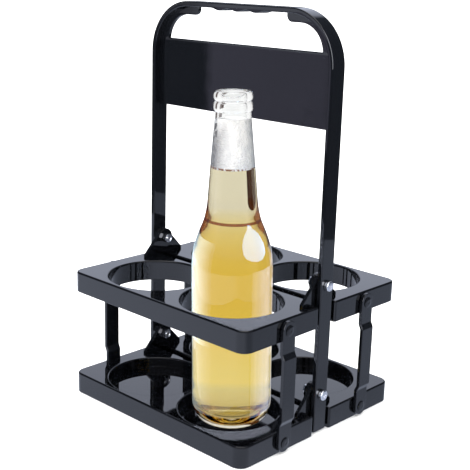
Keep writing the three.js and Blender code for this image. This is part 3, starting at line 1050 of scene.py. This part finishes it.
studio = dict(
    floorRadius=12.0,
    floorHeight=-0.0003,
    brightFloorRadius=0.645,
    brightFloorHeight=-0.0002,
    domeRadius=25.0,
    backlightRadius=24.0,
    floorGlow=(1.08, 1.18, 1.46),
    floorDim=(0.56, 0.63, 0.80),
    floorTurn=(-0.05, 0.25),
    # painted shadow: the floor's glow in the gloss is dimmer close by, where the carrier would shade it
    floorNear=0.82,  # the floor close by is shaded by the carrier
    floorNearReach=(0.10, 0.24),
    darkSky=(0.085, 0.10, 0.13),
    backlightLow=(0.92, 0.92, 0.92),
    backlightHigh=(1.05, 1.05, 1.05),
    backlightTurn=(-30.0, 10.0),
    backlightFloor=(0.40, 0.38, 0.33),
    backlightFloorTurn=(-50.0, -34.0),
)
backlightFlag = dict(azimuth=(34, 70), elevation=(-30, 60), soft=(3, 5), glow=(0.03, 0.03, 0.035))
cameraSide = dict(azimuth=(-107, 13), elevation=(-80, 80), soft=(20, 8), glow=(0.30, 0.30, 0.31))

# Each soft box that the gloss mirrors: azimuths, elevations, soft edges and glow
softBoxes = dict(
    backdrop=dict(azimuth=(109, 160), elevation=(11, 53), soft=(5, 7), glow=(1.10, 1.18, 1.42)),
    ceiling=dict(azimuth=(-400, 400), elevation=(67, 120), soft=(5, 3), glow=(3.0, 3.0, 3.1)),
    panelCard=dict(azimuth=(-135.2, -127.7), elevation=(-9.5, -2.25), soft=(0.3, 0.1),
                   glow=(0.60, 0.59, 0.80)),
    gripCard=dict(azimuth=(-136, -120), elevation=(-2.25, 0.5), soft=(1.5, 0.1), glow=(1.15, 1.22, 1.45)),
    gripCardLeft=dict(azimuth=(-146, -136), elevation=(-2.25, 0.5), soft=(2, 0.1), glow=(0.55, 0.56, 0.66)),
    frontGlow=dict(azimuth=(-112, 35), elevation=(8, 50), soft=(8, 8), glow=(0.45, 0.47, 0.55)),
)


def staged(name, bm, material, height=0.0):
    obj = meshObject(name, bm)
    obj.location.z = height
    obj.data.materials.append(material)
    return obj


def disc(name, radius, height, material):
    bm = bmesh.new()
    bmesh.ops.create_circle(bm, cap_ends=True, segments=96, radius=radius)
    return staged(name, bm, material, height)


def dome(name, radius, material):
    bm = bmesh.new()
    bmesh.ops.create_uvsphere(bm, u_segments=96, v_segments=48, radius=radius)
    return staged(name, bm, material)


def onlySeenIn(obj, way):
    # seen in gloss alone, or through glass alone, so it neither lights the floor nor shows in the picture
    obj.visible_camera = False
    obj.visible_diffuse = False
    obj.visible_glossy = way == "gloss"
    obj.visible_transmission = way == "glass"
    obj.visible_volume_scatter = False
    obj.visible_shadow = False


paper = dict(dark=(0.93, 0.93, 0.93), light=(0.95, 0.95, 0.95), grain=dict(scale=3, detail=2), roughness=0.9)


def floorMaterial():
    p, m = paper, Finish("floor paper")
    m.feed(m.shader, {
        "Base Color": m.mix(m.noise(**p["grain"]), p["dark"], p["light"]),
        "Roughness": p["roughness"],
        "Specular IOR Level": 0.0,
    })
    return m.material


def floorGlowMaterial():
    # the floor in the gloss: brighter in front on the left, dimmer behind on the right, with a painted shadow
    # close by
    s, m = studio, Finish("floor glow")
    tone = m.mix(m.step(m.calc("ADD", m.x, m.y), *s["floorTurn"]), s["floorGlow"], s["floorDim"])
    away = m.calc("SQRT", m.calc("ADD", m.calc("POWER", m.x, 2.0), m.calc("POWER", m.y, 2.0)))
    brighter = m.calc("MULTIPLY", m.step(away, *s["floorNearReach"]), 1 - s["floorNear"])
    return m.glowing(tone, m.calc("ADD", s["floorNear"], brighter))


def domeMaterial():
    # a dark room with soft boxes and cards in it
    s, m = studio, Finish("studio dome")
    azimuth, elevation = m.sphereAngles(s["domeRadius"])
    room = s["darkSky"]
    for box in softBoxes.values():
        room = m.mix(m.boxShare(box, azimuth, elevation), room, box["glow"])
    return m.glowing(room)


def backlightMaterial():
    # what glass shows behind it: white, greyer low down, with a dark flag and the dull camera side
    s, m = studio, Finish("backlight")
    azimuth, elevation = m.sphereAngles(s["backlightRadius"])
    tone = m.mix(m.step(elevation, *s["backlightTurn"]), s["backlightLow"], s["backlightHigh"])
    tone = m.mix(m.step(elevation, *s["backlightFloorTurn"]), s["backlightFloor"], tone)
    for box in (backlightFlag, cameraSide):
        tone = m.mix(m.boxShare(box, azimuth, elevation), tone, box["glow"])
    return m.glowing(tone)


neckFlag = dict(place=(-150, 14), width=90, low=79, high=262, facing=161, glow=(0.045, 0.008, 0.003))


def makeNeckFlag():
    # a dark card standing off to the left, which the neck bends into a streak
    f = neckFlag
    half = f["width"] / 2
    outline = arc(0, f["low"] + half, half, 180, 360, steps=12) + [(half, f["high"]), (-half, f["high"])]
    bar = prism([outline], 0, 1, "y")
    bar.name = "neck_flag"
    bar.data.transform(Matrix.Scale(mm, 4) @ Matrix.Translation((*f["place"], 0))
                       @ Matrix.Rotation(radians(f["facing"] - 90), 4, "Z"))
    bar.data.materials.append(Finish("neck flag").glowing((*f["glow"], 1)))
    onlySeenIn(bar, "glass")


def makeStudio():
    s = studio
    floor = disc("floor", s["floorRadius"], s["floorHeight"], floorMaterial())
    floor.visible_glossy = False
    floor.visible_transmission = False
    glow = disc("floor_glow", s["brightFloorRadius"], s["brightFloorHeight"], floorGlowMaterial())
    onlySeenIn(glow, "gloss")
    onlySeenIn(dome("dome", s["domeRadius"], domeMaterial()), "gloss")
    onlySeenIn(dome("backlight", s["backlightRadius"], backlightMaterial()), "glass")
    makeNeckFlag()


makeStudio()

shot = dict(azimuth=43.31, elevation=15.13, roll=1.67, distance=800, target=(-1.045, 0, 140.8), lens=74.75)
light = dict(world=2.3, key=22.0, keySize=1.2, keyPlace=(-1.0, -1.1, 1.7))
world = bpy.data.worlds.new("white studio")
scene.world = world
world.use_nodes = True
background = world.node_tree.nodes["Background"].inputs
background["Color"].default_value = (1, 1, 1, 1)
background["Strength"].default_value = light["world"]
world.cycles_visibility.glossy = False


def areaLamp(name, place, aim, size, glow, shape="RECTANGLE", turn=0.0, receivers=None):
    # an area lamp of an even glow, which may light and show in a few pieces alone
    data = bpy.data.lights.new(name, "AREA")
    data.shape = shape
    data.size, data.size_y = size
    strength = max(glow)
    area = size[0] * size[1] * (pi / 4 if shape == "ELLIPSE" else 1)
    data.energy = strength * pi * area
    data.color = [c / strength for c in glow]
    lamp = bpy.data.objects.new(name, data)
    lamp.location = place
    facing = (Vector(aim) - Vector(place)).to_track_quat("-Z", "Y").to_matrix()
    lamp.rotation_euler = (facing @ Matrix.Rotation(radians(turn), 3, "Z")).to_euler()
    lamp.visible_camera = False
    lamp.visible_transmission = False
    scene.collection.objects.link(lamp)
    if receivers:
        lamp.light_linking.receiver_collection = receivers
    else:
        lamp.visible_glossy = False


keyPlace, keySize = Vector(light["keyPlace"]), light["keySize"]
areaLamp("key", keyPlace, (0, 0, 0), (keySize, keySize), [light["key"] / pi / keySize**2] * 3)


def collectionOf(name, pieces):
    held = bpy.data.collections.new(name)
    for piece in pieces:
        held.objects.link(piece)
    return held


# A lamp by the camera, which draws bright lines along the rounded edges of the handle and links
edgeLamp = dict(place=(0.955, -1.024, 0.86), aim=(0, 0, 0.15), size=(1.5, 1.6), glow=(6.0, 6.2, 6.7))
carrierPieces = [o for o in bpy.data.objects if o.get("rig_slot") in ("black_plastic", "bright_steel")]
edgePieces = [piece for piece in carrierPieces if not piece.name.startswith("tray")]
areaLamp("edgeLamp", **edgeLamp, receivers=collectionOf("lit edges", edgePieces))

glassOnly = collectionOf("lit glass", bottlePieces[:1])
foamOnly = collectionOf("lit foam", bottlePieces[2:])

# Upright strips this far from the bottle: azimuths on it, heights, and the sheen wanted at both ends
stripGap, leastGlow = 5, 0.001
bottleStrips = dict(
    leftBand=dict(azimuth=(-166, -84), height=(75, 160), ease=1.6, count=16,
                  sheen=((0.40, 0.55, 0.62), (0.01, 0.02, 0.04))),
    leftBandLow=dict(azimuth=(-166, -84), height=(14, 75), ease=1, count=12,
                     sheen=((0.18, 0.22, 0.22), (0.01, 0.01, 0.02))),
    rightBand=dict(azimuth=(-20, 40), height=(14, 136), ease=0.6, count=12,
                   sheen=((0.0, 0.0, 0.0), (0.13, 0.165, 0.27))),
    rightEdge=dict(azimuth=(40, 72), height=(14, 152), ease=1, count=5,
                   sheen=((0.10, 0.12, 0.16), (0.5, 0.5, 0.5))),
)
# The bright window in the shoulder: from the bottle's middle, along an azimuth, sideways and up
window = dict(azimuth=20, away=36, aside=-14.3, height=160.2, size=(40, 32), turn=-10, glow=(4.5, 8.0, 14.0))
foamLamp = dict(place=(0.35, -0.5, 0.45), aim=(0.04, -0.05, 0.225), size=(0.4, 0.4), glow=(7.0, 6.7, 6.4))


def mirrorShare(slant):
    # how much of a ray glass mirrors at this slant from upright, in degrees
    straightOn = 0.04
    return straightOn + (1 - straightOn) * (1 - cos(radians(slant)))**5


def lightBottle():
    b = bottle
    foot = Vector((*b["foot"], 0))
    radius = b["bodyRadius"] + stripGap
    for name, s in bottleStrips.items():
        low, high = s["height"]
        step = (s["azimuth"][1] - s["azimuth"][0]) / s["count"]
        wide = radius * radians(abs(step)) * mm
        for i in range(s["count"]):
            turn = s["azimuth"][0] + (i + 0.5) * step
            slant = slantSeen(turn, radius)
            k = (i / (s["count"] - 1))**s["ease"]
            glow = [max(g0 + (g1 - g0) * k, leastGlow) / mirrorShare(slant) for g0, g1 in zip(*s["sheen"])]
            middle = Vector((0, 0, (low + high) / 2))
            out = Vector((cos(radians(turn)), sin(radians(turn)), 0))
            place, aim = (foot + radius * out + middle) * mm, (foot + middle) * mm
            areaLamp(name + str(i), place, aim, (wide, (high - low) * mm), glow, receivers=glassOnly)
    w = window
    a = radians(w["azimuth"])
    out, aside = Vector((cos(a), sin(a), 0)), Vector((-sin(a), cos(a), 0))
    lean = (w["height"] - b["base"]) * tan(radians(b["lean"]))
    heading = radians(b["leanTowards"])
    middle = foot + Vector((lean * cos(heading), lean * sin(heading), w["height"])) + w["aside"] * aside
    place, size = (middle + w["away"] * out) * mm, [v * mm for v in w["size"]]
    areaLamp("window", place, middle * mm, size, w["glow"], "ELLIPSE", w["turn"], glassOnly)
    areaLamp("foamLamp", **foamLamp, receivers=foamOnly)


def slantSeen(turn, radius):
    # the slant at which the body mirrors this azimuth of a ring of strips to the camera
    toCamera = shot["azimuth"] - 90

    def miss(slant):
        beyond = degrees(asin(bottle["bodyRadius"] * sin(radians(slant)) / radius))
        return abs(abs(turn - toCamera) - (2 * slant - beyond))

    return min(range(91), key=miss)


lightBottle()

for piece in bottlePieces:
    piece.visible_shadow = False
for piece in carrierPieces:
    piece.visible_transmission = False
print("studio done")


# Camera at the photograph's view

def makeCamera():
    a, e, roll = (radians(shot[k]) for k in ("azimuth", "elevation", "roll"))
    back = Vector((sin(a) * cos(e), -cos(a) * cos(e), sin(e)))
    right = Vector((cos(a), sin(a), 0))
    up = back.cross(right)
    turnedRight = cos(roll) * right + sin(roll) * up
    turnedUp = cos(roll) * up - sin(roll) * right
    data = bpy.data.cameras.new("camera")
    data.lens = shot["lens"]
    camera = bpy.data.objects.new("camera", data)
    scene.collection.objects.link(camera)
    spot = (Vector(shot["target"]) + shot["distance"] * back) * mm
    facing = Matrix((turnedRight, turnedUp, back)).transposed().to_4x4()
    camera.matrix_world = Matrix.Translation(spot) @ facing
    scene.camera = camera


makeCamera()
scene.view_settings.view_transform = "Standard"

# light turns about many times in the bend of the glass before it comes out
turnsOfLight = 40
for kind in ("max_bounces", "glossy_bounces", "transmission_bounces"):
    setattr(scene.cycles, kind, turnsOfLight)
